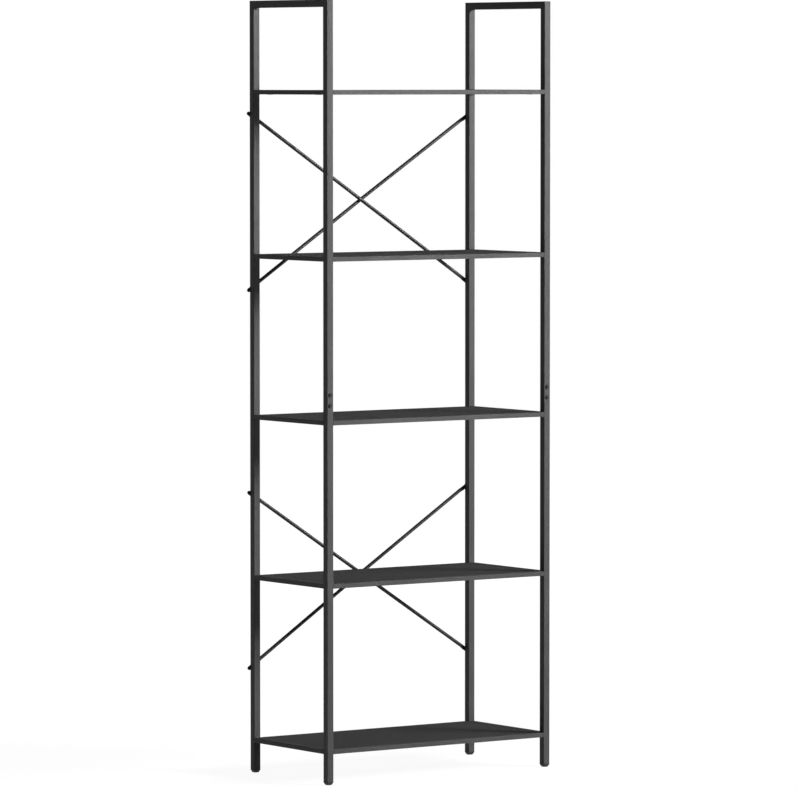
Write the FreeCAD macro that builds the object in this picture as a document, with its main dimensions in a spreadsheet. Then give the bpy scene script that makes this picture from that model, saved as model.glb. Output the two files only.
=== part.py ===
import FreeCAD, Part
import Sketcher
import math
import os

# Five-tier bookcase: two welded square-tube side loops, each in a lower and an upper half,
# inset shelf boards, front rails, and two pairs of crossed brace rods behind the rear posts.
# +X points to the viewer's right, +Y to the back and +Z up. The origin is on the floor,
# under the middle of everything. All sizes are in millimetres.

vector = FreeCAD.Vector
doc = FreeCAD.newDocument("IndustrialBookcase")

sizes = {
    # the whole frame, over the faces of the tubes
    "width": 600,
    "depth": 300,
    "height": 1700,
    "post_size": 16,
    "post_wall": 1.2,
    "post_radius": 1,
    # the lower posts end, and the upper ones begin, this far above the middle shelf
    "seam_rise": 44.5,
    "sleeve_length": 70,
    "sleeve_wall": 2,
    "corner_bevel": 0.8,
    "fit_gap": 0.2,
    # shelves, counted from the floor: the first top face and the steps between the others
    "first_shelf": 77,
    "outer_spacing": 360,
    "inner_spacing": 354,
    "rail_height": 10,
    "rail_wall": 1,
    "rail_radius": 0.8,
    "spigot_length": 14,
    "spigot_lead": 1,
    "board_thick": 7.5,
    "board_gap": 0.4,
    "board_edge": 0.5,
    "tab_thick": 2,
    "tab_reach": 24,
    "tab_width": 28,
    "tab_inset": 40,
    "tab_clip": 5,
    # countersunk screws that hold the boards to their tabs, with some board left above their points
    "screw_size": 3.5,
    "sink_land": 0.4,
    "screw_cover": 1.5,
    # button-head bolts at the post joints and the brace ends, which reach past the sleeve's wall
    "bolt_size": 5,
    "bolt_reach": 4.6,
    "bolt_offset": 11.5,
    "head_size": 9.5,
    "head_height": 2.75,
    "head_rim": 1.1,
    "socket_size": 3,
    "socket_depth": 1.5,
    "hole_gap": 0.2,
    "thread_gap": 0.05,
    # crossed rods: heights of the two crossings and the rise from end hole to end hole
    "brace_low": 424.5,
    "brace_high": 1259,
    "brace_rise": 376,
    "brace_size": 8,
    "brace_tab": 4,
    "brace_tab_width": 9,
    "brace_end": 15.5,
    "brace_relief": 1,
    "brace_taper": 9,
    "brace_gap": 0.6,
    "cross_gap": 0.3,
    # square glides that plug the posts
    "foot_height": 7.5,
    "foot_rim": 1.5,
    "foot_overhang": 0.3,
    "foot_base": 10.4,
    "plug_length": 18,
    "plug_wall": 1.6,
}
sheet = doc.addObject("Spreadsheet::Sheet", "Sizes")
for row, (name, amount) in enumerate(sizes.items(), 1):
    sheet.set("A%d" % row, name)
    sheet.set("B%d" % row, str(amount))
    sheet.setAlias("B%d" % row, name)
doc.recompute()

# what follows from the sizes: bores, fits, lengths and places
fits = doc.addObject("App::VarSet", "Fits")


def follow(name, formula):
    fits.addProperty("App::PropertyFloat", name)
    fits.setExpression(name, formula)


follow("post_half", "Sizes.post_size / 2")
follow("bore", "Sizes.post_size - 2 * Sizes.post_wall")
follow("plug_size", "Fits.bore - 2 * Sizes.fit_gap")
follow("plug_bore", "Fits.plug_size - 2 * Sizes.plug_wall")
follow("sleeve_bore", "Fits.plug_size - 2 * Sizes.sleeve_wall")
follow("middle_shelf", "Sizes.first_shelf + Sizes.outer_spacing + Sizes.inner_spacing")
follow("seam_height", "Fits.middle_shelf + Sizes.seam_rise")
follow("lower_length", "Fits.seam_height - Sizes.foot_height")
follow("upper_length", "Sizes.height - Fits.seam_height")
follow("mitre_start", "Fits.upper_length - Sizes.post_size")
follow("bar_mitre_end", "Sizes.depth - Sizes.post_size")
follow("rail_bore_across", "Sizes.post_size - 2 * Sizes.rail_wall")
follow("rail_bore_up", "Sizes.rail_height - 2 * Sizes.rail_wall")
follow("spigot_across", "Fits.rail_bore_across - 2 * Sizes.fit_gap")
follow("spigot_up", "Fits.rail_bore_up - 2 * Sizes.fit_gap")
follow("side_length", "Sizes.depth - 2 * Sizes.post_size")
follow("front_length", "Sizes.width - 2 * Sizes.post_size - 2 * Sizes.fit_gap")
follow("front_half", "Fits.front_length / 2")
follow("inner_x", "Sizes.width / 2 - Sizes.post_size")
follow("post_x", "Sizes.width / 2 - Sizes.post_size / 2")
# the bolt heads in front and the bowed rods behind set where the middle of the frame lies
follow("rear_reach", "max(Sizes.brace_size + Sizes.cross_gap; Sizes.head_height) + Sizes.brace_tab")
follow("middle_y", "(Sizes.head_height - Fits.rear_reach) / 2")
follow("front_plane", "Fits.middle_y - Sizes.depth / 2")
follow("back_plane", "Fits.middle_y + Sizes.depth / 2")
follow("front_post_y", "Fits.front_plane + Sizes.post_size / 2")
follow("rear_post_y", "Fits.back_plane - Sizes.post_size / 2")
follow("side_y", "Fits.front_plane + Sizes.post_size")
follow("clear_hole", "Sizes.bolt_size + 2 * Sizes.hole_gap")
follow("thread_hole", "Sizes.bolt_size + 2 * Sizes.thread_gap")
follow("lower_bolt", "Fits.lower_length - Sizes.bolt_offset")
follow("sleeve_low_bolt", "Sizes.sleeve_length / 2 - Sizes.bolt_offset")
follow("sleeve_high_bolt", "Sizes.sleeve_length / 2 + Sizes.bolt_offset")
follow("sleeve_z", "Fits.seam_height - Sizes.sleeve_length / 2")
follow("head_dome", "Sizes.head_height - Sizes.head_rim")
follow("bolt_length", "Sizes.post_wall + Sizes.fit_gap + Sizes.sleeve_wall + Sizes.bolt_reach")
follow("socket_across", "2 * Sizes.socket_size / sqrt(3)")
follow("board_half", "Fits.inner_x - Sizes.board_gap")
follow("board_front", "Sizes.depth / 2 - Sizes.post_size - Sizes.board_gap")
follow("board_rear", "Sizes.depth / 2 - (Sizes.brace_size - Sizes.brace_tab) - Sizes.brace_gap")
follow("screw_length", "Sizes.tab_thick + Sizes.board_thick - Sizes.screw_cover")
follow("pilot_depth", "Fits.screw_length - Sizes.tab_thick + Sizes.hole_gap")
follow("pilot_hole", "Sizes.screw_size + 2 * Sizes.thread_gap")
follow("tab_x", "Fits.inner_x - Sizes.tab_reach / 2")
follow("tab_y", "Sizes.depth / 2 - Sizes.post_size - Sizes.tab_inset")
follow("tab_half", "Sizes.tab_width / 2")
follow("tab_hole_x", "Sizes.tab_reach / 2")
follow("tab_hole", "Sizes.screw_size + 2 * Sizes.hole_gap")
follow("screw_cone", "Sizes.tab_thick - Sizes.sink_land")
follow("screw_head", "Sizes.screw_size + 2 * Fits.screw_cone")
follow("sink_size", "Fits.screw_head + 2 * Sizes.hole_gap")
follow("screw_shank", "Fits.screw_length - Fits.screw_cone")
follow("brace_across", "Sizes.width - Sizes.post_size")
follow("brace_span", "sqrt(Fits.brace_across ^ 2 + Sizes.brace_rise ^ 2)")
follow("brace_angle", "atan(Fits.brace_across / Sizes.brace_rise) / 1deg")
follow("brace_flat_post", "(Fits.post_half + Sizes.brace_relief) * Fits.brace_span / Fits.brace_across")
follow("brace_flat_side", "Sizes.brace_tab_width / 2 * Sizes.brace_rise / Fits.brace_across")
follow("brace_hole", "Fits.brace_span / 2")
follow("brace_tip", "Fits.brace_hole + Sizes.brace_end")
follow("brace_tip_centre", "Fits.brace_tip - Sizes.brace_tab_width / 2")
follow("brace_inner", "Fits.brace_hole - Fits.brace_flat_post - Fits.brace_flat_side")
follow("brace_round", "Fits.brace_inner - Sizes.brace_taper")
follow("brace_shift", "(Sizes.brace_size - Sizes.brace_tab) / 2")
follow("brace_bow", "Sizes.brace_tab + Sizes.cross_gap")
follow("brace_crown", "Fits.brace_shift + Fits.brace_bow")
follow("brace_tab_half", "Sizes.brace_tab_width / 2")
follow("brace_tab_minor", "Sizes.brace_tab / 2")
follow("oval_wide", "Fits.brace_tab_half * cos(30deg)")
follow("oval_low", "Fits.brace_tab_minor * sin(30deg)")
follow("oval_narrow", "Fits.brace_tab_half * cos(60deg)")
follow("oval_high", "Fits.brace_tab_minor * sin(60deg)")
follow("brace_y", "Fits.back_plane + Sizes.brace_tab / 2")
follow("foot_size", "Sizes.post_size + 2 * Sizes.foot_overhang")
follow("foot_half", "Fits.foot_size / 2")
follow("foot_flat", "Fits.foot_half - Sizes.corner_bevel")
follow("base_half", "Sizes.foot_base / 2")
follow("plug_half", "Fits.plug_size / 2")
follow("plug_flat", "Fits.plug_half - Sizes.corner_bevel")
follow("foot_shoulder", "Sizes.foot_height - Sizes.foot_rim")
doc.recompute()

# top faces of the five shelves
shelves = {
    1: "Sizes.first_shelf",
    2: "Sizes.first_shelf + Sizes.outer_spacing",
    3: "Fits.middle_shelf",
    4: "Fits.middle_shelf + Sizes.inner_spacing",
    5: "Fits.middle_shelf + Sizes.inner_spacing + Sizes.outer_spacing",
}
tab_base = " - Sizes.rail_height"
board_base = tab_base + " + Sizes.tab_thick"
rail_middle = " - Sizes.rail_height / 2"

nodes = []


def number(name):
    return float(getattr(sheet if name in sizes else fits, name))


def reference(name):
    return ("Sizes." if name in sizes else "Fits.") + name


def bind_datum(sketch, index, name, value):
    # names a dimension of the sketch and ties it to one value
    title = "%s_%d" % (name, index)
    sketch.renameConstraint(index, title)
    sketch.setExpression("Constraints." + title, value)


def new_body(label):
    body = doc.addObject("PartDesign::Body", label)
    body.Label = label
    return body


def new_sketch(body, title, role, lift=None):
    sketch = body.newObject("Sketcher::SketchObject", body.Name + "_" + title)
    for plane in body.Origin.OriginFeatures:
        if plane.Role == role:
            sketch.AttachmentSupport = (plane, [""])
    sketch.MapMode = "FlatFace"
    if lift:
        sketch.setExpression("AttachmentOffset.Base.z", lift)
    return sketch


def signed(name):
    return -number(name[1:]) if name.startswith("-") else (0.0 if name == "0" else number(name))


def hold_point(sketch, shape, end, x, y):
    # fixes a point by its distances from the origin; a leading minus means the negative side
    for axis, name in (("X", x), ("Y", y)):
        if name == "0":
            line = -2 if axis == "X" else -1
            sketch.addConstraint(Sketcher.Constraint("PointOnObject", shape, end, line))
            continue
        amount = abs(signed(name))
        if name.startswith("-"):
            rule = Sketcher.Constraint("Distance" + axis, shape, end, -1, 1, amount)
        else:
            rule = Sketcher.Constraint("Distance" + axis, -1, 1, shape, end, amount)
        bind_datum(sketch, sketch.addConstraint(rule), "at_" + axis.lower(), reference(name.strip("-")))


def polygon(sketch, corners):
    first = sketch.GeometryCount
    points = [vector(signed(x), signed(y), 0) for x, y in corners]
    count = len(points)
    for i in range(count):
        sketch.addGeometry(Part.LineSegment(points[i], points[(i + 1) % count]), False)
    for i in range(count):
        sketch.addConstraint(Sketcher.Constraint("Coincident", first + i, 2, first + (i + 1) % count, 1))
    for i in range(count):
        hold_point(sketch, first + i, 1, *corners[i])


def clipped_square(sketch, half, flat):
    # eight corners: the square's sides stop short of its corners
    polygon(sketch, [("-" + flat, "-" + half), (flat, "-" + half), (half, "-" + flat), (half, flat),
                     (flat, half), ("-" + flat, half), ("-" + half, flat), ("-" + half, "-" + flat)])


def circle(sketch, x, y, diameter):
    centre = vector(signed(x), signed(y), 0)
    ring = sketch.addGeometry(Part.Circle(centre, vector(0, 0, 1), number(diameter) / 2))
    hold_point(sketch, ring, 3, x, y)
    rule = Sketcher.Constraint("Diameter", ring, number(diameter))
    bind_datum(sketch, sketch.addConstraint(rule), "bore", reference(diameter))


def ring(sketch, x, y, diameter, sides=8):
    # the outline of a small fastener or its hole: a few flats with their corners on a guide circle
    guide = sketch.addGeometry(Part.Circle(vector(signed(x), signed(y), 0), vector(0, 0, 1), 1), True)
    radius = number(diameter) / 2
    points = []
    for i in range(sides):
        angle = 2 * math.pi * i / sides
        points.append(vector(signed(x) + radius * math.cos(angle), signed(y) + radius * math.sin(angle), 0))
    first = sketch.GeometryCount
    for i in range(sides):
        sketch.addGeometry(Part.LineSegment(points[i], points[(i + 1) % sides]), False)
    hold_point(sketch, guide, 3, x, y)
    rule = Sketcher.Constraint("Diameter", guide, 2 * radius)
    bind_datum(sketch, sketch.addConstraint(rule), "across", reference(diameter))
    for i in range(sides):
        sketch.addConstraint(Sketcher.Constraint("Coincident", first + i, 2, first + (i + 1) % sides, 1))
        sketch.addConstraint(Sketcher.Constraint("PointOnObject", first + i, 1, guide))
    for i in range(1, sides):
        sketch.addConstraint(Sketcher.Constraint("Equal", first, first + i))
    sketch.addConstraint(Sketcher.Constraint("Horizontal", guide, 3, first, 1))


def round_ended(sketch, half, base, turn):
    # a strip along the sketch's Y axis, from the base to a half circle about the turn
    first = sketch.GeometryCount
    x, low, high = number(half), number(base), number(turn)
    sketch.addGeometry(Part.LineSegment(vector(x, low, 0), vector(x, high, 0)), False)
    end = Part.Circle(vector(0, high, 0), vector(0, 0, 1), x)
    sketch.addGeometry(Part.ArcOfCircle(end, 0, math.pi), False)
    sketch.addGeometry(Part.LineSegment(vector(-x, high, 0), vector(-x, low, 0)), False)
    sketch.addGeometry(Part.LineSegment(vector(-x, low, 0), vector(x, low, 0)), False)
    for i in (0, 1):
        sketch.addConstraint(Sketcher.Constraint("Tangent", first + i, 2, first + i + 1, 1))
    for i in (2, 3):
        sketch.addConstraint(Sketcher.Constraint("Coincident", first + i, 2, first + (i + 1) % 4, 1))
    sketch.addConstraint(Sketcher.Constraint("Vertical", first))
    hold_point(sketch, first, 1, half, base)
    hold_point(sketch, first + 2, 2, "-" + half, base)
    hold_point(sketch, first + 1, 3, "0", turn)


def rectangle(sketch, across, up):
    # centred on the origin
    first = sketch.GeometryCount
    x = number(across) / 2
    y = number(up) / 2
    corners = [vector(-x, -y, 0), vector(x, -y, 0), vector(x, y, 0), vector(-x, y, 0)]
    for i in range(4):
        sketch.addGeometry(Part.LineSegment(corners[i], corners[(i + 1) % 4]), False)
    for i in range(4):
        sketch.addConstraint(Sketcher.Constraint("Coincident", first + i, 2, first + (i + 1) % 4, 1))
        sketch.addConstraint(Sketcher.Constraint("Vertical" if i % 2 else "Horizontal", first + i))
    sketch.addConstraint(Sketcher.Constraint("Symmetric", first, 1, first + 2, 1, -1, 1))
    for rule, name in (
        (Sketcher.Constraint("DistanceX", first, 1, first, 2, 2 * x), across),
        (Sketcher.Constraint("DistanceY", first + 1, 1, first + 1, 2, 2 * y), up),
    ):
        bind_datum(sketch, sketch.addConstraint(rule), name, reference(name))


def rounded_rectangle(sketch, across, up, corner):
    # centred on the origin, drawn anticlockwise from the lower side
    first = sketch.GeometryCount
    x = number(across) / 2
    y = number(up) / 2
    r = number(corner)
    turns = [(x - r, r - y, -90), (x - r, y - r, 0), (r - x, y - r, 90), (r - x, r - y, 180)]
    ends = []
    for cx, cy, start in turns:
        for angle in (math.radians(start), math.radians(start + 90)):
            ends.append(vector(cx + r * math.cos(angle), cy + r * math.sin(angle), 0))
    for i, (cx, cy, start) in enumerate(turns):
        sketch.addGeometry(Part.LineSegment(ends[2 * i - 1], ends[2 * i]), False)
        ring = Part.Circle(vector(cx, cy, 0), vector(0, 0, 1), r)
        sketch.addGeometry(Part.ArcOfCircle(ring, math.radians(start), math.radians(start + 90)), False)
    for i in range(8):
        sketch.addConstraint(Sketcher.Constraint("Tangent", first + i, 2, first + (i + 1) % 8, 1))
    for i, way in ((0, "Horizontal"), (2, "Vertical"), (4, "Horizontal"), (6, "Vertical")):
        sketch.addConstraint(Sketcher.Constraint(way, first + i))
    for i in (3, 5, 7):
        sketch.addConstraint(Sketcher.Constraint("Equal", first + 1, first + i))
    sketch.addConstraint(Sketcher.Constraint("Symmetric", first + 1, 3, first + 5, 3, -1, 1))
    rules = (
        (Sketcher.Constraint("DistanceX", first + 6, 1, first + 2, 1, 2 * x), across),
        (Sketcher.Constraint("DistanceY", first, 1, first + 4, 1, 2 * y), up),
        (Sketcher.Constraint("Radius", first + 1, r), corner),
    )
    for rule, name in rules:
        bind_datum(sketch, sketch.addConstraint(rule), name, reference(name))


def raise_profile(body, sketch, length, title="pad", both=False):
    pad = body.newObject("PartDesign::Pad", body.Name + "_" + title)
    pad.Profile = sketch
    pad.setExpression("Length", length)
    if both:
        pad.SideType = "Symmetric"
    return pad


def edges_where(feature, wanted):
    doc.recompute()
    return ["Edge%d" % i for i, edge in enumerate(feature.Shape.Edges, 1) if wanted(edge)]


def is_upright(edge):
    return abs(edge.tangentAt(edge.FirstParameter).z) > 0.99


def highest_face(feature):
    faces = feature.Shape.Faces
    return "Face%d" % (1 + max(range(len(faces)), key=lambda i: faces[i].CenterOfMass.z))


def cut_profile(body, sketch, length, title, reverse=False, both=False):
    doc.recompute()
    before = body.Shape.Volume
    pocket = body.newObject("PartDesign::Pocket", body.Name + "_" + title)
    pocket.Profile = sketch
    pocket.setExpression("Length", length)
    pocket.Reversed = reverse
    if both:
        pocket.SideType = "Symmetric"
    doc.recompute()
    if body.Shape.Volume > before - 1e-3:
        raise RuntimeError(body.Label + ": " + title + " cuts nothing")
    return pocket


def place(item, x, y, z, axis=None, angle=0):
    turn = FreeCAD.Rotation(vector(*axis), angle) if axis else FreeCAD.Rotation()
    item.Placement = FreeCAD.Placement(vector(0, 0, 0), turn)
    for letter, formula in (("x", x), ("y", y), ("z", z)):
        if formula:
            item.setExpression("Placement.Base." + letter, formula)


def reflect(item, axis, formula):
    # a copy on the other side of a plane square to one axis, together with the first
    mirror = doc.addObject("Part::Mirroring", item.Name + "_across_" + axis)
    mirror.Source = item
    mirror.Normal = vector(*[1 if axis == letter else 0 for letter in "xyz"])
    if formula:
        mirror.setExpression("Base." + axis, formula)
    return join(item.Name + "_both_" + axis, [item, mirror])


def join(name, items):
    group = doc.addObject("Part::Compound", name)
    group.Links = items
    return group


def keep(item, label):
    item.Label = label
    nodes.append(item)
    return item


def tube(label, across, up, corner, bore_across, bore_up, length):
    body = new_body(label)
    profile = new_sketch(body, "profile", "XY_Plane")
    rounded_rectangle(profile, across, up, corner)
    rectangle(profile, bore_across, bore_up)
    raise_profile(body, profile, length)
    return body


def drill_outer_wall(body, holes):
    # round holes through the wall on the tube's own -Y side, which faces out of the frame
    sketch = new_sketch(body, "holes", "XZ_Plane")
    for height, diameter in holes:
        ring(sketch, "0", height, diameter)
    cut_profile(body, sketch, "Sizes.post_size", "drilled", reverse=True)


# Posts, lower and upper, with the joint sleeve and the glide: the rear ones are turned half round
# so that the same drilled face looks out of the frame
for name, x, y, turn in (
    ("front_left", "-Fits.post_x", "Fits.front_post_y", 0),
    ("front_right", "Fits.post_x", "Fits.front_post_y", 0),
    ("rear_left", "-Fits.post_x", "Fits.rear_post_y", 180),
    ("rear_right", "Fits.post_x", "Fits.rear_post_y", 180),
):
    post_tube = ("post_size", "post_size", "post_radius", "bore", "bore")
    lower = tube(name + "_lower_post", *post_tube, "Fits.lower_length")
    upper = tube(name + "_upper_post", *post_tube, "Fits.upper_length")
    lower_holes = [("lower_bolt", "clear_hole")]
    upper_holes = [("bolt_offset", "clear_hole")]
    if turn:
        for half, level, base, holes in (
            ("lower", "brace_low", "Sizes.foot_height", lower_holes),
            ("upper", "brace_high", "Fits.seam_height", upper_holes),
        ):
            for end, sign in (("top", "+"), ("bottom", "-")):
                hole = "%s_%s_brace_%s" % (name, half, end)
                follow(hole, "Sizes.%s %s Sizes.brace_rise / 2 - %s" % (level, sign, base))
                holes.append((hole, "thread_hole"))
        doc.recompute()
    drill_outer_wall(lower, lower_holes)
    drill_outer_wall(upper, upper_holes)
    mitre = new_sketch(upper, "mitre", "YZ_Plane")
    top = "upper_length"
    polygon(mitre, [("-post_half", top), ("post_half", "mitre_start"), ("post_half", top)])
    cut_profile(upper, mitre, "2 * Sizes.post_size", "mitred", both=True)
    place(lower, x, y, "Sizes.foot_height", (0, 0, 1), turn)
    place(upper, x, y, "Fits.seam_height", (0, 0, 1), turn)
    keep(lower, lower.Name)
    keep(upper, upper.Name)

    sleeve = new_body(name + "_sleeve")
    wall = new_sketch(sleeve, "wall", "XY_Plane")
    clipped_square(wall, "plug_half", "plug_flat")
    rectangle(wall, "sleeve_bore", "sleeve_bore")
    raise_profile(sleeve, wall, "Sizes.sleeve_length")
    drill_outer_wall(sleeve, [("sleeve_low_bolt", "thread_hole"), ("sleeve_high_bolt", "thread_hole")])
    place(sleeve, x, y, "Fits.sleeve_z", (0, 0, 1), turn)
    keep(sleeve, sleeve.Name)

    foot = new_body(name + "_foot")
    pad = new_sketch(foot, "pad_outline", "XY_Plane")
    clipped_square(pad, "foot_half", "foot_flat")
    raise_profile(foot, pad, "Sizes.foot_height")
    for role, title in (("XZ_Plane", "across"), ("YZ_Plane", "along")):
        wedge = new_sketch(foot, "wedge_" + title, role)
        polygon(wedge, [("base_half", "0"), ("foot_half", "0"), ("foot_half", "foot_shoulder")])
        polygon(wedge, [("-base_half", "0"), ("-foot_half", "0"), ("-foot_half", "foot_shoulder")])
        cut_profile(foot, wedge, "2 * Fits.foot_size", "tapered_" + title, both=True)
    plug = new_sketch(foot, "plug", "XY_Plane", "Sizes.foot_height")
    clipped_square(plug, "plug_half", "plug_flat")
    rectangle(plug, "plug_bore", "plug_bore")
    raise_profile(foot, plug, "Sizes.plug_length", "plug_pad")
    place(foot, x, y, None)
    keep(foot, foot.Name)

# Top bars, mitred at both ends to close the side loops
for name, x in (("left", "-Fits.post_x"), ("right", "Fits.post_x")):
    bar = tube(name + "_top_bar", "post_size", "post_size", "post_radius", "bore", "bore", "Sizes.depth")
    mitre = new_sketch(bar, "mitres", "YZ_Plane")
    polygon(mitre, [("-post_half", "0"), ("post_half", "0"), ("post_half", "post_size")])
    polygon(mitre, [("-post_half", "depth"), ("post_half", "bar_mitre_end"), ("post_half", "depth")])
    cut_profile(bar, mitre, "2 * Sizes.post_size", "mitred", both=True)
    place(bar, x, "Fits.front_plane", "Sizes.height - Fits.post_half", (1, 0, 0), -90)
    keep(bar, bar.Name)

# Shelves: side rails welded between the posts, a front rail over two spigots, and an inset board
# on four tabs, screwed from below
screws = []
spigots = []
for level, top in shelves.items():
    name = "shelf_%d_" % level
    for side, x in (("left", "-Fits.post_x"), ("right", "Fits.post_x")):
        rail = tube(name + side + "_rail", "post_size", "rail_height", "rail_radius", "rail_bore_across",
                    "rail_bore_up", "Fits.side_length")
        place(rail, x, "Fits.side_y", top + rail_middle, (1, 0, 0), -90)
        keep(rail, rail.Name)

    rail = tube(name + "front_rail", "rail_height", "post_size", "rail_radius", "rail_bore_up",
                "rail_bore_across", "Fits.front_length")
    place(rail, "-Fits.front_half", "Fits.front_post_y", top + rail_middle, (0, 1, 0), 90)
    keep(rail, rail.Name)

    spigot = new_body(name + "spigot")
    section = new_sketch(spigot, "section", "XY_Plane")
    rectangle(section, "spigot_up", "spigot_across")
    bar = raise_profile(spigot, section, "Sizes.spigot_length")
    doc.recompute()
    lead = spigot.newObject("PartDesign::Chamfer", spigot.Name + "_lead")
    lead.Base = (bar, [highest_face(bar)])
    lead.setExpression("Size", "Sizes.spigot_lead")
    place(spigot, "-Fits.inner_x", "Fits.front_post_y", top + rail_middle, (0, 1, 0), 90)
    spigots.append(reflect(spigot, "x", None))

    board = new_body(name + "board")
    outline = new_sketch(board, "outline", "XY_Plane")
    polygon(outline, [("-board_half", "-board_front"), ("board_half", "-board_front"),
                      ("board_half", "board_rear"), ("-board_half", "board_rear")])
    panel = raise_profile(board, outline, "Sizes.board_thick")
    doc.recompute()
    edge = board.newObject("PartDesign::Chamfer", board.Name + "_edge")
    edge.Base = (panel, [highest_face(panel)])
    edge.setExpression("Size", "Sizes.board_edge")
    pilots = new_sketch(board, "pilots", "XY_Plane")
    for x in ("-tab_x", "tab_x"):
        ring(pilots, x, "-tab_y", "pilot_hole")
        ring(pilots, x, "tab_y", "pilot_hole")
    cut_profile(board, pilots, "Fits.pilot_depth", "pilot_holes", reverse=True)
    place(board, None, "Fits.middle_y", top + board_base)
    keep(board, board.Name)

    tab = new_body(name + "tab")
    plate = new_sketch(tab, "plate", "XY_Plane")
    polygon(plate, [("0", "-tab_half"), ("tab_reach", "-tab_half"),
                    ("tab_reach", "tab_half"), ("0", "tab_half")])
    ring(plate, "tab_hole_x", "0", "tab_hole")
    blank = raise_profile(tab, plate, "Sizes.tab_thick")
    tip = number("tab_reach") * 0.99
    corners = edges_where(blank, lambda edge: is_upright(edge) and edge.CenterOfMass.x > tip)
    clipped = tab.newObject("PartDesign::Chamfer", tab.Name + "_clipped")
    clipped.Base = (blank, corners)
    clipped.setExpression("Size", "Sizes.tab_clip")
    sink = new_sketch(tab, "sink", "XY_Plane")
    ring(sink, "tab_hole_x", "0", "sink_size")
    sink_top = new_sketch(tab, "sink_top", "XY_Plane", "Fits.screw_cone")
    ring(sink_top, "tab_hole_x", "0", "tab_hole")
    countersink = tab.newObject("PartDesign::SubtractiveLoft", tab.Name + "_countersink")
    countersink.Profile = sink
    countersink.Sections = [sink_top]
    countersink.Ruled = True
    place(tab, "-Fits.inner_x", "Fits.middle_y - Fits.tab_y", top + tab_base)
    keep(reflect(reflect(tab, "x", None), "y", "Fits.middle_y"), name + "tabs")

    screw = new_body(name + "screw")
    head = new_sketch(screw, "head", "XY_Plane")
    ring(head, "0", "0", "screw_head")
    neck = new_sketch(screw, "neck", "XY_Plane", "Fits.screw_cone")
    ring(neck, "0", "0", "screw_size")
    cone = screw.newObject("PartDesign::AdditiveLoft", screw.Name + "_cone")
    cone.Profile = head
    cone.Sections = [neck]
    cone.Ruled = True
    shank = new_sketch(screw, "shank", "XY_Plane", "Fits.screw_cone")
    ring(shank, "0", "0", "screw_size")
    raise_profile(screw, shank, "Fits.screw_shank")
    place(screw, "-Fits.tab_x", "Fits.middle_y - Fits.tab_y", top + tab_base)
    screws.append(reflect(reflect(screw, "x", None), "y", "Fits.middle_y"))
keep(join("all_screws", screws), "board_screws")
keep(join("all_spigots", spigots), "front_rail_spigots")


def button_bolt(label):
    # the head stands on the local XY plane and the shank points down
    body = new_body(label)
    shank = new_sketch(body, "shank", "XY_Plane", "-Fits.bolt_length")
    ring(shank, "0", "0", "bolt_size")
    raise_profile(body, shank, "Fits.bolt_length", "shank_pad")
    cap = new_sketch(body, "cap", "XY_Plane")
    ring(cap, "0", "0", "head_size", 12)
    head = raise_profile(body, cap, "Sizes.head_height", "cap_pad")
    doc.recompute()
    dome = body.newObject("PartDesign::Chamfer", body.Name + "_dome")
    dome.Base = (head, [highest_face(head)])
    dome.setExpression("Size", "Fits.head_dome")
    key = new_sketch(body, "key", "XY_Plane", "Sizes.head_height")
    ring(key, "0", "0", "socket_across", 6)
    cut_profile(body, key, "Sizes.socket_depth", "socket")
    return body


# Two bolts beside the seam of each post, on its outer face
bolt = button_bolt("joint_bolt")
place(bolt, "-Fits.post_x", "Fits.front_plane", "Fits.seam_height + Sizes.bolt_offset", (1, 0, 0), 90)
bolts = reflect(reflect(reflect(bolt, "z", "Fits.seam_height"), "x", None), "y", "Fits.middle_y")
keep(bolts, "post_joint_bolts")

# One bolt through each end of the four rods, from behind
bolt = button_bolt("brace_bolt")
place(bolt, "-Fits.post_x", "Fits.back_plane + Sizes.brace_tab", "Sizes.brace_low - Sizes.brace_rise / 2",
      (1, 0, 0), -90)
bolts = reflect(reflect(bolt, "z", "Sizes.brace_low"), "x", None)
bolts = reflect(bolts, "z", "(Sizes.brace_low + Sizes.brace_high) / 2")
keep(bolts, "brace_bolts")


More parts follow.
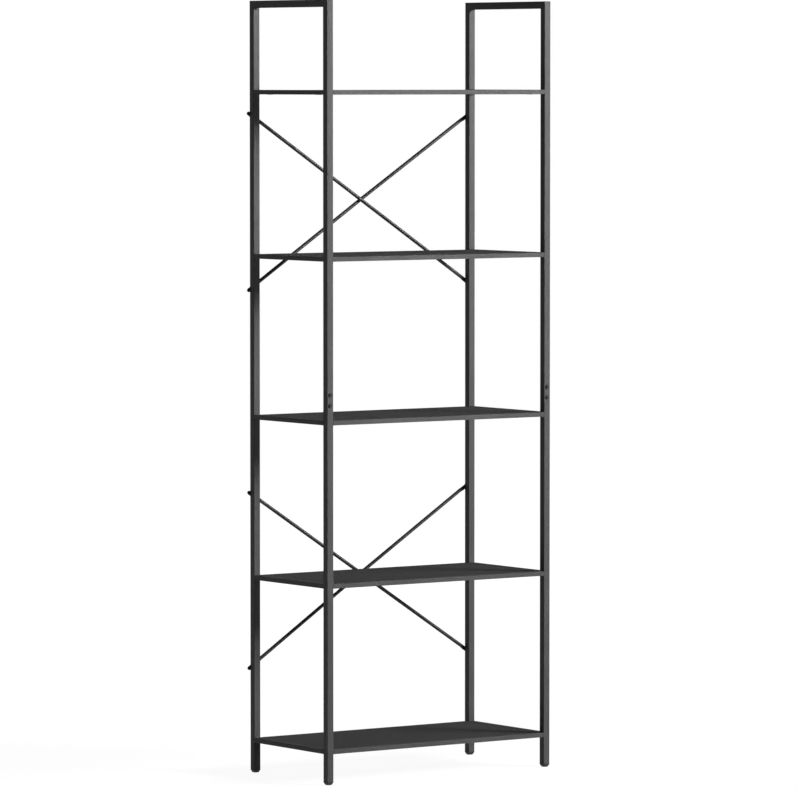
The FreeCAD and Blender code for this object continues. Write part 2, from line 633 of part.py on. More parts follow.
def brace_rod(label, level, way, bowed):
    # Half of a rod is made along the local Z axis and mirrored. Each end is flattened on one side of
    # the round stock. The front rod of a pair lies straight with its stock towards the shelves; the
    # rear one is the same rod turned over, and is bent back over the first where they cross.
    body = new_body(label)
    side = "brace_shift" if bowed else "-brace_shift"
    middle = new_sketch(body, "middle", "XY_Plane")
    circle(middle, "0", "brace_crown" if bowed else side, "brace_size")
    stock = raise_profile(body, middle, "Fits.brace_round", "stock")
    if bowed:
        stock.UseCustomVector = True
        stock.AlongSketchNormal = True
        stock.Direction = vector(0, -number("brace_bow"), number("brace_round"))
        stock.setExpression("Direction.y", "-Fits.brace_bow")
        stock.setExpression("Direction.z", "Fits.brace_round")

    neck = new_sketch(body, "neck", "XY_Plane", "Fits.brace_round")
    ring(neck, "0", side, "brace_size", 12)
    flat = new_sketch(body, "flat", "XY_Plane", "Fits.brace_inner")
    quarter = [("brace_tab_half", "0"), ("oval_wide", "oval_low"), ("oval_narrow", "oval_high")]
    oval = quarter + [("0", "brace_tab_minor")]
    oval += [("-" + x, y) for x, y in reversed(quarter)]
    oval += [(x, "-" + y) for x, y in reversed(oval[1:-1])]
    polygon(flat, oval)
    swage = body.newObject("PartDesign::AdditiveLoft", body.Name + "_swage")
    swage.Profile = neck
    swage.Sections = [flat]
    swage.Ruled = True

    lug = new_sketch(body, "lug", "XZ_Plane")
    round_ended(lug, "brace_tab_half", "brace_inner", "brace_tip_centre")
    plate = raise_profile(body, lug, "Sizes.brace_tab", "lug_pad", both=True)
    eye = new_sketch(body, "eye", "XZ_Plane")
    ring(eye, "0", "brace_hole", "clear_hole")
    hole = cut_profile(body, eye, "2 * Sizes.brace_tab", "eye_hole", both=True)
    other_end = body.newObject("PartDesign::Mirrored", body.Name + "_other_end")
    other_end.Originals = [stock, swage, plate, hole]
    for plane in body.Origin.OriginFeatures:
        if plane.Role == "XY_Plane":
            other_end.MirrorPlane = (plane, [""])
    body.Tip = other_end
    place(body, None, "Fits.brace_y", "Sizes." + level, (0, 1, 0), way * number("brace_angle"))
    body.setExpression("Placement.Rotation.Angle", "%d * Fits.brace_angle * 1deg" % way)
    keep(body, label)


# The front rods run from upper left to lower right, the rear ones the other way
for name, level in (("lower", "brace_low"), ("upper", "brace_high")):
    brace_rod(name + "_front_brace", level, -1, False)
    brace_rod(name + "_rear_brace", level, 1, True)

doc.recompute()
for item in doc.Objects:
    if "Invalid" in item.State or "Error" in item.State:
        raise RuntimeError("%s did not build: %s" % (item.Label, item.State))
for node in nodes:
    if node.Shape.isNull() or not node.Shape.isValid() or not node.Shape.Solids:
        raise RuntimeError(node.Label + " has no valid solid")

os.makedirs("parts", exist_ok=True)
for node in nodes:
    node.Shape.exportStep("parts/%s.step" % node.Label)
print(len(nodes), "nodes,", sum(len(node.Shape.Solids) for node in nodes), "solids")
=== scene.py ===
import math

import bmesh
import bpy
from mathutils import Matrix, Vector


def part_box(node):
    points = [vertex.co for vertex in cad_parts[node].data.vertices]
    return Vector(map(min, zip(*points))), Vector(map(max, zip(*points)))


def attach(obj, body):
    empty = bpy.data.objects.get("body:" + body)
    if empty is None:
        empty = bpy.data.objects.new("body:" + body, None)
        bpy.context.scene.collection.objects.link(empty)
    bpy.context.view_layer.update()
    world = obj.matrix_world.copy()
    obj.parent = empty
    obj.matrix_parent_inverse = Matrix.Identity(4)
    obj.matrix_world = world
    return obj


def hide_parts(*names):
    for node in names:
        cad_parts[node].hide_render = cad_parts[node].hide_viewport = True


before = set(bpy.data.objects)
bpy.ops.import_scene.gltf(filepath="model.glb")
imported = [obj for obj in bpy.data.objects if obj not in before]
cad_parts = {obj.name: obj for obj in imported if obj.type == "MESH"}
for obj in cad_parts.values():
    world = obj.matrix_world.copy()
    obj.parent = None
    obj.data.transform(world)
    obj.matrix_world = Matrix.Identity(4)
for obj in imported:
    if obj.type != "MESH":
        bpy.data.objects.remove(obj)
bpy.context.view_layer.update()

scene = bpy.context.scene
scene.view_settings.view_transform = "Standard"
mm = 0.001


class Wire:  # a shader socket that sums can be written with
    def __init__(self, tree, socket=None):
        self.tree = tree
        self.socket = socket

    def node(self, kind, settings, sockets, out=0):
        made = self.tree.nodes.new(kind)
        for key, value in settings.items():
            setattr(made, key, value)
        for key, value in sockets.items():
            if isinstance(value, Wire):
                self.tree.links.new(value.socket, made.inputs[key])
            else:
                made.inputs[key].default_value = value
        return Wire(self.tree, made.outputs[out]) if len(made.outputs) else made

    def maths(self, operation, first, second):
        return self.node("ShaderNodeMath", {"operation": operation}, {0: first, 1: second})

    def __add__(self, other):
        return self.maths("ADD", self, other)

    def __radd__(self, other):
        return self.maths("ADD", other, self)

    def __sub__(self, other):
        return self.maths("SUBTRACT", self, other)

    def __rsub__(self, other):
        return self.maths("SUBTRACT", other, self)

    def __mul__(self, other):
        return self.maths("MULTIPLY", self, other)

    def __rmul__(self, other):
        return self.maths("MULTIPLY", other, self)


def newFinish(name):
    finish = bpy.data.materials.new(name)
    finish.use_nodes = True
    finish.node_tree.nodes.clear()
    return finish, Wire(finish.node_tree)


def noise(wire, place, scale, detail, roughness=0.55):
    return wire.node("ShaderNodeTexNoise", {},
                     {"Vector": place, "Scale": scale, "Detail": detail, "Roughness": roughness})


def drawnNoise(wire, place, scales, detail):  # noise with its own scale along each axis
    drawn = wire.node("ShaderNodeMapping", {}, {"Vector": place, "Scale": scales})
    return noise(wire, drawn, 1.0, detail)


def between(wire, value, span, to=(0.0, 1.0)):  # eases from the first of two results to the second
    return wire.node("ShaderNodeMapRange", {"interpolation_type": "SMOOTHSTEP"},
                     {"Value": value, "From Min": span[0], "From Max": span[1], "To Min": to[0], "To Max": to[1]})


def blendColour(wire, share, first, second):
    return wire.node("ShaderNodeMix", {"data_type": "RGBA"}, {0: share, 6: first, 7: second}, 2)


edgeLook = {"samples": 6, "turned": (0.01, 0.22)}


def softEdge(wire, radius):  # rounds the look of the cut edges and says where they are
    rounded = wire.node("ShaderNodeBevel", {"samples": edgeLook["samples"]}, {"Radius": radius})
    flat = wire.node("ShaderNodeNewGeometry", {}, {}, "Normal")
    along = wire.node("ShaderNodeVectorMath", {"operation": "DOT_PRODUCT"}, {0: rounded, 1: flat}, "Value")
    return rounded, between(wire, 1 - along, edgeLook["turned"])


def coverWith(finish, wire, s, colour, rough, height, rounded, rest):  # the shader that ends every finish
    bumped = wire.node("ShaderNodeBump", {}, {"Height": height, "Normal": rounded,
                                              "Strength": s["bump"], "Distance": s["depth"]})
    skin = wire.node("ShaderNodeBsdfPrincipled", {},
                     {"Base Color": colour, "Roughness": rough, "Normal": bumped, **rest})
    wire.node("ShaderNodeOutputMaterial", {}, {"Surface": skin})
    return finish


powderCoat = {
    "colour": (0.06, 0.06, 0.06, 1), "cloudy": (0.071, 0.071, 0.071, 1), "thin": (0.076, 0.076, 0.076, 1),
    "grain": (1500, 2.0), "peel": (300, 1.0), "clouds": (9, 4.0), "edge": 0.3 * mm,
    "cloudSpan": (0.3, 0.7), "thinSpan": (0.35, 0.75), "thinShare": (0.25, 0.9),
    "roughness": 0.45, "cloudRough": 0.10, "grainRough": 0.10, "thinShine": 0.06, "specular": 0.10,
    "upSpan": (0.6, 0.95), "dust": 0.42,
    "grainHeight": 0.7, "peelHeight": 0.6, "bump": 0.22, "depth": 0.12 * mm,
}
rodCoat = dict(  # a darker, glossier coat on the rods
    powderCoat, roughness=0.36, specular=0.26, dust=0.08,
    colour=(0.016, 0.016, 0.016, 1), cloudy=(0.0224, 0.0224, 0.0224, 1), thin=(0.0288, 0.0288, 0.0288, 1),
)


def makePowderCoat(name, s):
    finish, wire = newFinish(name)
    place = wire.node("ShaderNodeTexCoord", {}, {}, "Object")
    grain = noise(wire, place, *s["grain"])
    peel = noise(wire, place, *s["peel"])
    clouds = noise(wire, place, *s["clouds"])
    rounded, edge = softEdge(wire, s["edge"])
    thin = edge * between(wire, clouds, s["thinSpan"], s["thinShare"])  # coat drawn off the corners
    colour = blendColour(wire, between(wire, clouds, s["cloudSpan"]), s["colour"], s["cloudy"])
    colour = blendColour(wire, thin, colour, s["thin"])
    facing = wire.node("ShaderNodeTexCoord", {}, {}, "Normal")
    upward = wire.node("ShaderNodeSeparateXYZ", {}, {"Vector": facing}, "Z")
    dusty = between(wire, upward, s["upSpan"], (0.0, s["dust"]))  # dulled where dust settles
    rough = s["roughness"] + s["cloudRough"] * (clouds - 0.5) + s["grainRough"] * (grain - 0.5)
    rough = rough - s["thinShine"] * thin + dusty
    height = s["grainHeight"] * grain + s["peelHeight"] * peel
    return coverWith(finish, wire, s, colour, rough, height, rounded, {"Specular IOR Level": s["specular"]})


boardFoil = {
    "colour": (0.054, 0.054, 0.054, 1), "streak": (0.071, 0.071, 0.071, 1), "rubbed": (0.11, 0.11, 0.11, 1),
    "grain": ((14, 420, 420), 4.0), "pores": ((60, 1900, 1900), 2.0), "clouds": (5, 3.0), "edge": 0.5 * mm,
    "streakMix": (0.7, 0.3), "streakSpan": (0.35, 0.68), "rubSpan": (0.4, 0.8), "rubShare": (0.15, 0.7),
    "roughness": 0.85, "grainRough": 0.10, "cloudRough": 0.08, "specular": 0.015,
    "grainHeight": 0.6, "poreSpan": (0.42, 0.6), "bump": 0.16, "depth": 0.1 * mm,
}


def makeBoardFoil(s):
    finish, wire = newFinish("boardFoil")
    place = wire.node("ShaderNodeTexCoord", {}, {}, "Object")
    grain = drawnNoise(wire, place, *s["grain"])
    pores = drawnNoise(wire, place, *s["pores"])
    clouds = noise(wire, place, *s["clouds"])
    rounded, edge = softEdge(wire, s["edge"])
    streaks = s["streakMix"][0] * grain + s["streakMix"][1] * clouds
    colour = blendColour(wire, between(wire, streaks, s["streakSpan"]), s["colour"], s["streak"])
    rubbed = edge * between(wire, clouds, s["rubSpan"], s["rubShare"])
    colour = blendColour(wire, rubbed, colour, s["rubbed"])
    rough = s["roughness"] + s["grainRough"] * (grain - 0.5) + s["cloudRough"] * (clouds - 0.5)
    height = s["grainHeight"] * grain + between(wire, pores, s["poreSpan"])
    return coverWith(finish, wire, s, colour, rough, height, rounded, {"Specular IOR Level": s["specular"]})


glidePlastic = {
    "colour": (0.030, 0.030, 0.0305, 1), "scuffed": (0.085, 0.085, 0.0855, 1),
    "grain": (2400, 2.0), "scuffs": ((260, 260, 900), 3.0), "edge": 0.5 * mm,
    "scuffSpan": (0.48, 0.66), "scuffTop": 2.2 * mm, "scuffShare": 0.8, "edgeShare": 0.18,
    "roughness": 0.58, "grainRough": 0.12, "wornRough": 0.22, "specular": 0.22,
    "bump": 0.18, "depth": 0.08 * mm,
}


def makeGlidePlastic(s):
    finish, wire = newFinish("glidePlastic")
    place = wire.node("ShaderNodeTexCoord", {}, {}, "Object")
    above = wire.node("ShaderNodeSeparateXYZ", {}, {"Vector": place}, "Z")
    grain = noise(wire, place, *s["grain"])
    scuffs = drawnNoise(wire, place, *s["scuffs"])
    rounded, edge = softEdge(wire, s["edge"])
    nearFloor = between(wire, above, (0.0, s["scuffTop"]), (s["scuffShare"], 0.0))
    worn = between(wire, scuffs, s["scuffSpan"]) * nearFloor + s["edgeShare"] * edge
    colour = blendColour(wire, worn, s["colour"], s["scuffed"])
    rough = s["roughness"] + s["grainRough"] * (grain - 0.5) + s["wornRough"] * worn
    return coverWith(finish, wire, s, colour, rough, grain, rounded, {"Specular IOR Level": s["specular"]})


blackOxide = {
    "colour": (0.030, 0.030, 0.0305, 1), "bare": (0.070, 0.0695, 0.069, 1),
    "grain": (3200, 2.0), "stain": (500, 3.0), "edge": 0.25 * mm,
    "bareSpan": (0.35, 0.7), "bareShare": (0.2, 0.8), "metalSpan": (0.2, 0.8), "metalShare": (0.0, 0.7),
    "roughness": 0.50, "stainRough": 0.2, "bareShine": 0.08, "specular": 0.22,
    "bump": 0.12, "depth": 0.05 * mm,
}


def makeBlackOxide(s):
    finish, wire = newFinish("blackOxide")
    place = wire.node("ShaderNodeTexCoord", {}, {}, "Object")
    grain = noise(wire, place, *s["grain"])
    stain = noise(wire, place, *s["stain"])
    rounded, edge = softEdge(wire, s["edge"])
    bare = edge * between(wire, stain, s["bareSpan"], s["bareShare"])  # steel rubbed bright on the edges
    colour = blendColour(wire, bare, s["colour"], s["bare"])
    rough = s["roughness"] + s["stainRough"] * (stain - 0.5) - s["bareShine"] * bare
    metal = between(wire, bare, s["metalSpan"], s["metalShare"])
    return coverWith(finish, wire, s, colour, rough, grain, rounded,
                     {"Metallic": metal, "Specular IOR Level": s["specular"]})


innerSteel = {
    "colour": (0.36, 0.36, 0.37, 1), "dull": (0.22, 0.22, 0.23, 1),
    "drawn": ((900, 900, 30), 3.0), "patches": (60, 3.0), "edge": 0.3 * mm,
    "dullMix": (0.5, 0.5), "dullSpan": (0.4, 0.62),
    "roughness": 0.38, "drawnRough": 0.16, "edgeShine": 0.08, "metal": 1.0,
    "bump": 0.1, "depth": 0.04 * mm,
}


def makeInnerSteel(s):
    finish, wire = newFinish("innerSteel")
    place = wire.node("ShaderNodeTexCoord", {}, {}, "Object")
    drawn = drawnNoise(wire, place, *s["drawn"])
    patches = noise(wire, place, *s["patches"])
    rounded, edge = softEdge(wire, s["edge"])
    clean = between(wire, s["dullMix"][0] * drawn + s["dullMix"][1] * patches, s["dullSpan"])
    colour = blendColour(wire, clean, s["dull"], s["colour"])
    rough = s["roughness"] + s["drawnRough"] * (drawn - 0.5) - s["edgeShine"] * edge
    return coverWith(finish, wire, s, colour, rough, drawn, rounded, {"Metallic": s["metal"]})


finishes = {
    "frame": makePowderCoat("powderCoat", powderCoat),
    "rod": makePowderCoat("rodCoat", rodCoat),
    "board": makeBoardFoil(boardFoil),
    "glide": makeGlidePlastic(glidePlastic),
    "fastener": makeBlackOxide(blackOxide),
    "inner_steel": makeInnerSteel(innerSteel),
}
print("finishes made:", ", ".join(finishes))

slotOf = {  # by the last word of a node's name; all the rest is frame
    "board": "board", "foot": "glide", "bolts": "fastener", "screws": "fastener",
    "sleeve": "inner_steel", "spigots": "inner_steel",
}
for name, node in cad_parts.items():
    slotName = slotOf.get(name.split("_")[-1], "frame")
    for place in node.material_slots:
        place.material = finishes[slotName]
print("CAD nodes dressed:", len(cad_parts))


def loft(shape, rings, place):  # skins rings of points in order and closes both ends
    loops = [[shape.verts.new(place @ Vector(point)) for point in ring] for ring in rings]
    for low, high in zip(loops, loops[1:]):
        for i in range(len(low)):
            shape.faces.new((low[i - 1], low[i], high[i], high[i - 1]))
    shape.faces.new(loops[0])
    shape.faces.new(loops[-1])


def finishPiece(name, shape, slotName, nodes=(), sharp=40, coat=None):
    bmesh.ops.recalc_face_normals(shape, faces=shape.faces)
    mesh = bpy.data.meshes.new(name)
    shape.to_mesh(mesh)
    shape.free()
    mesh.polygons.foreach_set("use_smooth", [True] * len(mesh.polygons))
    mesh.set_sharp_from_angle(angle=math.radians(sharp))
    mesh.materials.append(finishes[coat or slotName])
    piece = bpy.data.objects.new(name, mesh)
    scene.collection.objects.link(piece)
    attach(piece, "root")
    if nodes:
        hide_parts(*nodes)


def nodeBox(name):  # a node's two corners in millimetres
    return [Vector(corner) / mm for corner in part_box(name)]


def spot(x, y, z, turn=0, axis="X", spin=0):  # millimetres at a place, with local Z turned to face out
    turned = Matrix.Translation(Vector((x, y, z)) * mm) @ Matrix.Rotation(math.radians(turn), 4, axis)
    return turned @ Matrix.Rotation(math.radians(spin), 4, "Z") @ Matrix.Diagonal((mm, mm, mm, 1))


def spun(turns, *counts):  # degrees that leave each recess at another angle
    return turns[0] + sum(turn * count for turn, count in zip(turns[1:], counts))


def around(sides, height, reach):  # a ring whose radius may change with the angle
    angles = [2 * math.pi * i / sides for i in range(sides)]
    return [(reach(a) * math.cos(a), reach(a) * math.sin(a), height) for a in angles]


def roundRing(sides, height, radius):
    return around(sides, height, lambda a: radius)


def hexRing(sides, height, flats):
    return around(sides, height, lambda a: flats / 2 / math.cos(a % (math.pi / 3) - math.pi / 6))


def crossRing(sides, height, arm, width, least=0.001):
    off = lambda a: abs((a + math.pi / 4) % (math.pi / 2) - math.pi / 4)  # angle from the nearest arm
    reach = lambda a: min(arm / math.cos(off(a)), width / 2 / max(math.sin(off(a)), least))
    return around(sides, height, reach)


def threadRings(sides, start, end, crest, root, pitch):
    rings = []
    for turn in range(int((end - start) / pitch)):
        rings.append(roundRing(sides, start + turn * pitch, root))
        rings.append(roundRing(sides, start + (turn + 0.5) * pitch, crest))
    return rings


buttonBolt = {
    "head": 9.5, "height": 2.75, "rim": 0.55, "crown": 4.3, "domeSteps": 8, "underCut": 0.15,
    "key": 3.0, "keyDepth": 1.5, "mouth": 0.25, "mouthDepth": 0.14, "drill": 0.3, "drillShare": 0.4,
    "shank": 4.95, "root": 4.1, "pitch": 0.8, "length": 8.0, "tipShare": 0.42, "lead": 0.35, "runOut": 0.8,
    "plain": 0.5, "sides": 36,
    "frontSpin": (17, 23, 41), "rearSpin": (5, 37, 29), "braceSpin": (11, 31, 19, 47),
}


def boltRings(s):
    n, head, shank, top = s["sides"], s["head"] / 2, s["shank"] / 2, s["height"]
    rings = [roundRing(n, -s["length"], s["tipShare"] * s["root"])]
    rings += threadRings(n, -s["length"] + s["lead"], -s["runOut"], shank, s["root"] / 2, s["pitch"])
    rings += [roundRing(n, -s["plain"], shank), roundRing(n, 0, shank)]
    rings += [roundRing(n, 0, head - s["underCut"]), roundRing(n, s["underCut"], head)]
    for step in range(s["domeSteps"] + 1):
        a = math.radians(90 * step / s["domeSteps"])
        rise = s["rim"] + (top - s["rim"]) * math.sin(a)
        rings.append(roundRing(n, rise, s["crown"] / 2 + (s["head"] - s["crown"]) / 2 * math.cos(a)))
    keyEnd = top - s["keyDepth"]
    rings += [hexRing(n, top, s["key"] + s["mouth"]), hexRing(n, top - s["mouthDepth"], s["key"])]
    rings += [hexRing(n, keyEnd, s["key"]), hexRing(n, keyEnd - s["drill"], s["drillShare"] * s["key"])]
    return rings


def joinBolts(s, braceRise):
    rings = boltRings(s)
    head, height = s["head"] / 2, s["height"]
    low, high = nodeBox("post_joint_bolts")
    shape = bmesh.new()
    for i, x in enumerate((low.x + head, high.x - head)):
        for j, z in enumerate((low.z + head, high.z - head)):
            loft(shape, rings, spot(x, low.y + height, z, 90, spin=spun(s["frontSpin"], i, j)))
            loft(shape, rings, spot(x, high.y - height, z, -90, spin=spun(s["rearSpin"], i, j)))
    finishPiece("postJointBolts", shape, "fastener", ["post_joint_bolts"])
    low, high = nodeBox("brace_bolts")
    shape = bmesh.new()
    for i, x in enumerate((low.x + head, high.x - head)):
        for j, name in enumerate(("lower_front_brace", "upper_front_brace")):
            ends = nodeBox(name)
            middle = (ends[0].z + ends[1].z) / 2
            for k, z in enumerate((middle - braceRise / 2, middle + braceRise / 2)):
                loft(shape, rings, spot(x, high.y - height, z, -90, spin=spun(s["braceSpin"], i, j, k)))
    finishPiece("braceBolts", shape, "fastener", ["brace_bolts"])


boardScrew = {
    "head": 6.7, "cone": 1.6, "land": 0.12, "rimCut": 0.1, "shank": 3.5, "root": 2.5, "pitch": 1.4,
    "length": 8.0, "point": 1.3, "tip": 0.12, "runOut": 0.2,
    "arm": 1.75, "slot": 0.85, "slotDepth": 1.1, "armShare": 0.6, "slotShare": 0.75, "sides": 32,
    "spin": (0, 13, 37, 58),
}


def driveScrews(s):
    n, head, shank = s["sides"], s["head"] / 2, s["shank"] / 2
    rings = [roundRing(n, -s["length"], s["tip"])]
    rings += threadRings(n, -s["length"] + s["point"], -s["cone"] - s["runOut"], shank, s["root"] / 2, s["pitch"])
    rings += [roundRing(n, -s["cone"], shank), roundRing(n, -s["land"], head), roundRing(n, 0, head - s["rimCut"])]
    rings.append(crossRing(n, 0, s["arm"], s["slot"]))
    rings.append(crossRing(n, -s["slotDepth"], s["armShare"] * s["arm"], s["slotShare"] * s["slot"]))
    low, high = nodeBox("board_screws")
    shape = bmesh.new()
    for shelf in range(1, 6):
        under = nodeBox("shelf_%d_tabs" % shelf)[0].z
        for i, x in enumerate((low.x + head, high.x - head)):
            for j, y in enumerate((low.y + head, high.y - head)):
                loft(shape, rings, spot(x, y, under, 180, spin=spun(s["spin"], shelf, i, j)))
    finishPiece("boardScrews", shape, "fastener", ["board_screws"])


braceRod = {
    "across": 584.0, "rise": 376.0, "stock": 8.0, "lug": 4.0, "lugWidth": 9.0, "end": 15.5,
    "relief": 1.0, "post": 16.0, "swage": 9.0, "crossGap": 0.3, "soften": 0.02,
    "bodySteps": 24, "bodyEase": 1.5, "swageSteps": 8, "lugStep": 4, "tipSteps": 8, "tipTurn": 84, "tipThin": 0.92,
    "sides": 32, "sharp": 50,
}


def bendRods(s):
    span = math.hypot(s["across"], s["rise"])
    hole = span / 2
    pastPost = (s["post"] / 2 + s["relief"]) * span / s["across"]
    pastLug = s["lugWidth"] / 2 * s["rise"] / s["across"]
    flat = hole - pastPost - pastLug
    neck = flat - s["swage"]
    stock, wide, thin = s["stock"] / 2, s["lugWidth"] / 2, s["lug"] / 2
    shift = (s["stock"] - s["lug"]) / 2
    tipMiddle = hole + s["end"] - wide
    bow = s["lug"] + s["crossGap"]
    lean = math.degrees(math.atan2(s["across"], s["rise"]))
    angles = [2 * math.pi * (i + 0.5) / s["sides"] for i in range(s["sides"])]

    def ring(along, half, radius, out):  # flat between two round sides
        side = half - radius
        across = [math.copysign(side, math.cos(a)) + radius * math.cos(a) for a in angles]
        return [(x, out + radius * math.sin(a), along) for x, a in zip(across, angles)]

    for name in ("lower_front_brace", "lower_rear_brace", "upper_front_brace", "upper_rear_brace"):
        low, high = nodeBox(name)
        rear = "rear" in name
        aside = shift if rear else -shift
        rings = []
        for i in range(s["bodySteps"] + 1):  # round stock; the rear rod is bowed over the other at its middle
            along = neck * (i / s["bodySteps"]) ** s["bodyEase"]
            t = along / neck
            arch = bow * (1 - math.sqrt(t * t + s["soften"] ** 2) + s["soften"] * t) if rear else 0
            rings.append(ring(along, stock, stock, aside + arch))
        for i in range(1, s["swageSteps"] + 1):  # pressed flat towards the lug
            t = i / s["swageSteps"]
            ease = t * t * (3 - 2 * t)
            half, radius = stock + ease * (wide - stock), stock + ease * (thin - stock)
            rings.append(ring(neck + s["swage"] * t, half, radius, aside * (1 - ease)))
        for along in (flat + s["lugStep"], hole - s["lugStep"], hole, hole + s["lugStep"]):
            rings.append(ring(along, wide, thin, 0))
        for i in range(s["tipSteps"] + 1):  # the round end
            a = math.radians(s["tipTurn"] * i / s["tipSteps"])
            half = wide * math.cos(a)
            rings.append(ring(tipMiddle + wide * math.sin(a), half, min(thin, s["tipThin"] * half), 0))
        mirrored = [[(x, y, -z) for x, y, z in loop] for loop in reversed(rings[1:])]
        lugY = low.y + thin if rear else high.y - thin
        shape = bmesh.new()
        loft(shape, mirrored + rings, spot(0, lugY, (low.z + high.z) / 2, lean if rear else -lean, "Y"))
        pieceName = name.replace("_brace", "Rod").replace("_", "-")
        finishPiece(pieceName, shape, "frame", [name], sharp=s["sharp"], coat="rod")


glide = {
    "rim": 8.3, "base": 5.2, "height": 7.5, "shoulder": 6.0, "corner": 1.5, "perCorner": 6,
    "floorRound": ((0.45, 0.4, 0), (0.1, 0.2, 0.12)),  # off the half width, off the corner, height
    "taper": (0.5, 2.2, 3.9, 5.5),
    "shoulderRound": ((0.1, -0.1), (0, 0.3)),  # off the half width, up from the shoulder
    "rimRound": ((0, 0, 0.35), (0.1, 0.1, 0.1), (0.35, 0.3, 0)),  # off the half width, off the corner, down
    "plug": 6.6, "plugTop": 25.5, "plugCorner": 0.8, "plugLead": (0.4, 1.2),
    "bore": 5.0, "boreFloor": 9.0, "boreCorner": 0.6, "sharp": 35,
}


def mouldGlides(s):
    quarters = ((1, 1), (-1, 1), (-1, -1), (1, -1))

    def ring(half, corner, height):  # a square with round corners
        points = []
        for quarter, (sx, sy) in enumerate(quarters):
            for i in range(s["perCorner"]):
                a = math.pi / 2 * (quarter + i / (s["perCorner"] - 1))
                x = sx * (half - corner) + corner * math.cos(a)
                points.append((x, sy * (half - corner) + corner * math.sin(a), height))
        return points

    rim, base, corner, top, plug = s["rim"], s["base"], s["corner"], s["height"], s["plug"]
    grow = (rim - base) / s["shoulder"]
    thinner, lead = s["plugLead"]
    rings = [ring(base - cut, corner - less, z) for cut, less, z in s["floorRound"]]
    rings += [ring(base + grow * z, corner, z) for z in s["taper"]]
    rings += [ring(rim - cut, corner, s["shoulder"] + up) for cut, up in s["shoulderRound"]]
    rings += [ring(rim - cut, corner - less, top - down) for cut, less, down in s["rimRound"]]
    rings += [ring(plug, s["plugCorner"], z) for z in (top, s["plugTop"] - lead)]
    rings.append(ring(plug - thinner, s["plugCorner"], s["plugTop"]))
    rings += [ring(s["bore"], s["boreCorner"], z) for z in (s["plugTop"], s["boreFloor"])]
    for name in ("front_left", "front_right", "rear_left", "rear_right"):
        low, high = nodeBox(name + "_foot")
        shape = bmesh.new()
        loft(shape, rings, spot((low.x + high.x) / 2, (low.y + high.y) / 2, low.z))
        finishPiece(name.replace("_", "-") + "-glide", shape, "glide", [name + "_foot"], sharp=s["sharp"])


railWeld = {
    "leg": 1.7, "hollow": 0.5, "inset": 1.4, "cornerStep": 15, "ridge": (1.7, 0.6), "ridgeStep": 20, "tabWidth": 28,
    "ripple": 2.3, "perRipple": 5, "fewest": 8, "swell": (0.84, 0.16), "tail": (0.35, 6), "sharp": 60,
}


def layBead(shape, start, end, section, s):  # a rippled bead, whose section is a loop of offsets
    run = end - start
    count = max(s["fewest"], int(run.length / s["ripple"] * s["perRipple"]))
    least, wave = s["swell"]
    thinnest, rate = s["tail"]
    rings = []
    for i in range(count + 1):
        t = i / count
        taper = min(1, thinnest + rate * min(t, 1 - t))
        swell = taper * (least + wave * abs(math.sin(math.pi * t * run.length / s["ripple"])))
        rings.append([start + run * t + Vector(offset) * swell for offset in section])
    loft(shape, rings, Matrix.Diagonal((mm, mm, mm, 1)))


def weldRails(s):
    inset, tabWidth = s["inset"], s["tabWidth"]
    wide, proud = s["ridge"]
    shape = bmesh.new()
    for shelf in range(1, 6):
        tabs = nodeBox("shelf_%d_tabs" % shelf)
        for side in ("left", "right"):
            low, high = nodeBox("shelf_%d_%s_rail" % (shelf, side))
            for y, way in ((low.y, 1), (high.y, -1)):  # corners between the rail's underside and the posts
                section = [(0, 0, 0)]
                for degrees in range(0, 91, s["cornerStep"]):
                    a = math.radians(degrees)
                    reach = s["leg"] * (s["hollow"] + (1 - s["hollow"]) / (math.cos(a) + math.sin(a)))
                    section.append((0, way * reach * math.cos(a), -reach * math.sin(a)))
                start, end = Vector((low.x + inset, y, low.z)), Vector((high.x - inset, y, low.z))
                layBead(shape, start, end, section, s)
            x = high.x if side == "left" else low.x
            section = []
            for degrees in range(0, 181, s["ridgeStep"]):
                a = math.radians(degrees)
                section.append((wide * math.cos(a), 0, -proud * math.sin(a)))
            for y in (tabs[0].y, tabs[1].y - tabWidth):  # roots of the tabs
                start, end = Vector((x, y + inset, low.z)), Vector((x, y + tabWidth - inset, low.z))
                layBead(shape, start, end, section, s)
    finishPiece("railWelds", shape, "frame", sharp=s["sharp"])


joinBolts(buttonBolt, braceRod["rise"])
driveScrews(boardScrew)
bendRods(braceRod)
mouldGlides(glide)
weldRails(railWeld)
print("detailed pieces made")

studioFloor = {
    "radius": 45, "segments": 96, "colour": (0.40, 0.40, 0.40, 1), "kept": (0.12, 0.12, 0.12, 1),
    "near": (0.935, 0.935, 0.935, 1), "far": (1, 1, 1, 1), "shadowRoom": (1.2, 4.0),
}


def whiteRays(wire):  # rays that see the studio as white: the camera's own, mirrored and passed on
    kinds = ("Is Camera Ray", "Is Glossy Ray", "Is Transmission Ray")
    seen = [wire.node("ShaderNodeLightPath", {}, {}, kind) for kind in kinds]
    return wire.node("ShaderNodeClamp", {}, {"Value": seen[0] + seen[1] + seen[2]})


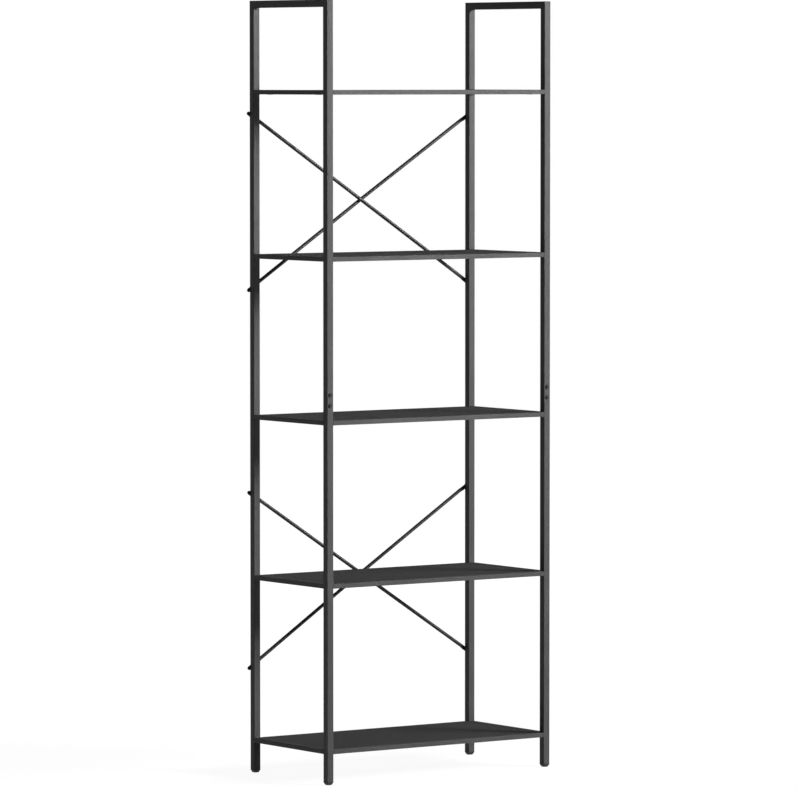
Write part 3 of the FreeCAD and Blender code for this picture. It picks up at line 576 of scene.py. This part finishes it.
def makeFloor(s):
    mesh = bpy.data.meshes.new("studioFloor")
    shape = bmesh.new()
    bmesh.ops.create_circle(shape, cap_ends=True, segments=s["segments"], radius=s["radius"])
    shape.to_mesh(mesh)
    shape.free()
    floor = bpy.data.objects.new("studioFloor", mesh)
    scene.collection.objects.link(floor)
    finish, wire = newFinish("studioFloor")
    matt = wire.node("ShaderNodeBsdfDiffuse", {}, {"Color": s["colour"]})
    kept = wire.node("ShaderNodeBsdfDiffuse", {}, {"Color": s["kept"]})  # what keeps the shadow in the white
    place = wire.node("ShaderNodeTexCoord", {}, {}, "Object")
    away = wire.node("ShaderNodeVectorMath", {"operation": "LENGTH"}, {0: place}, "Value")
    # painted light: the emitted white is dimmer near the object, where lamp light on the kept diffuse brings it up
    # to white, and is full white further out, where that light falls off
    paper = blendColour(wire, between(wire, away, s["shadowRoom"]), s["near"], s["far"])
    white = wire.node("ShaderNodeEmission", {}, {"Color": paper, "Strength": 1.0})
    both = wire.node("ShaderNodeAddShader", {}, {0: kept, 1: white})
    mixed = wire.node("ShaderNodeMixShader", {}, {0: whiteRays(wire), 1: matt, 2: both})
    wire.node("ShaderNodeOutputMaterial", {}, {"Surface": mixed})
    mesh.materials.append(finish)


makeFloor(studioFloor)

studio = {"dim": (0.025, 0.025, 0.02575, 1), "sweepTop": (0.075, 0.11), "paper": (1, 1, 1, 1)}


def makeStudio(s):
    scene.world = bpy.data.worlds.new("studio")
    scene.world.use_nodes = True
    scene.world.node_tree.nodes.clear()
    wire = Wire(scene.world.node_tree)
    facing = wire.node("ShaderNodeTexCoord", {}, {}, "Generated")
    lift = wire.node("ShaderNodeSeparateXYZ", {}, {"Vector": facing}, "Z")
    sweep = between(wire, lift, s["sweepTop"], (1.0, 0.0))  # a low white sweep round a dim room
    room = wire.node("ShaderNodeBackground", {}, {"Color": s["dim"]})
    paper = wire.node("ShaderNodeBackground", {}, {"Color": s["paper"]})
    mixed = wire.node("ShaderNodeMixShader", {}, {0: whiteRays(wire) * sweep, 1: room, 2: paper})
    wire.node("ShaderNodeOutputWorld", {}, {"Surface": mixed})


makeStudio(studio)

lamps = {  # the high strip has a grid, so that it fades towards the floor
    "keyLamp": {"place": (6.2, -6.6, 4.5), "aim": (0, 0, 0.95), "size": (3.2, 3.4), "spread": 180, "watts": 1060},
    "highStrip": {"place": (4.8, -5.8, 3.25), "aim": (0, 0, 1.85), "size": (1.2, 1.4), "spread": 36, "watts": 24},
    "lowStrip": {"place": (3.8, -6.2, 0.55), "aim": (0, 0, 0.5), "size": (1.2, 0.9), "spread": 180, "watts": 48},
    "fillLamp": {"place": (-6.6, 6.2, 3.9), "aim": (0, 0, 0.95), "size": (3.0, 2.4), "spread": 180, "watts": 20},
    "backLamp": {"place": (0.3, 7.6, 4.4), "aim": (0, 0, 0.95), "size": (3.0, 2.6), "spread": 180, "watts": 130},
}
for name, s in lamps.items():
    light = bpy.data.lights.new(name, "AREA")
    light.shape = "RECTANGLE"
    light.size, light.size_y = s["size"]
    light.energy = s["watts"]
    light.spread = math.radians(s["spread"])
    lamp = bpy.data.objects.new(name, light)
    lamp.location = s["place"]
    lamp.rotation_euler = (Vector(s["aim"]) - Vector(s["place"])).to_track_quat("-Z", "Y").to_euler()
    lamp.visible_camera = False
    scene.collection.objects.link(lamp)

photoCamera = {
    "place": (-7.41621, -10.48894, 1.53500), "turn": 35.25390, "tilt": 3.15060,
    "lens": 262.9046, "sensor": 36, "clipEnd": 500,
}
cameraData = bpy.data.cameras.new("photoCamera")
cameraData.sensor_width = photoCamera["sensor"]
cameraData.lens = photoCamera["lens"]
cameraData.clip_end = photoCamera["clipEnd"]
camera = bpy.data.objects.new("photoCamera", cameraData)
camera.location = photoCamera["place"]
camera.rotation_euler = (math.radians(90 - photoCamera["tilt"]), 0, -math.radians(photoCamera["turn"]))
scene.collection.objects.link(camera)
scene.camera = camera
print("studio and camera set")
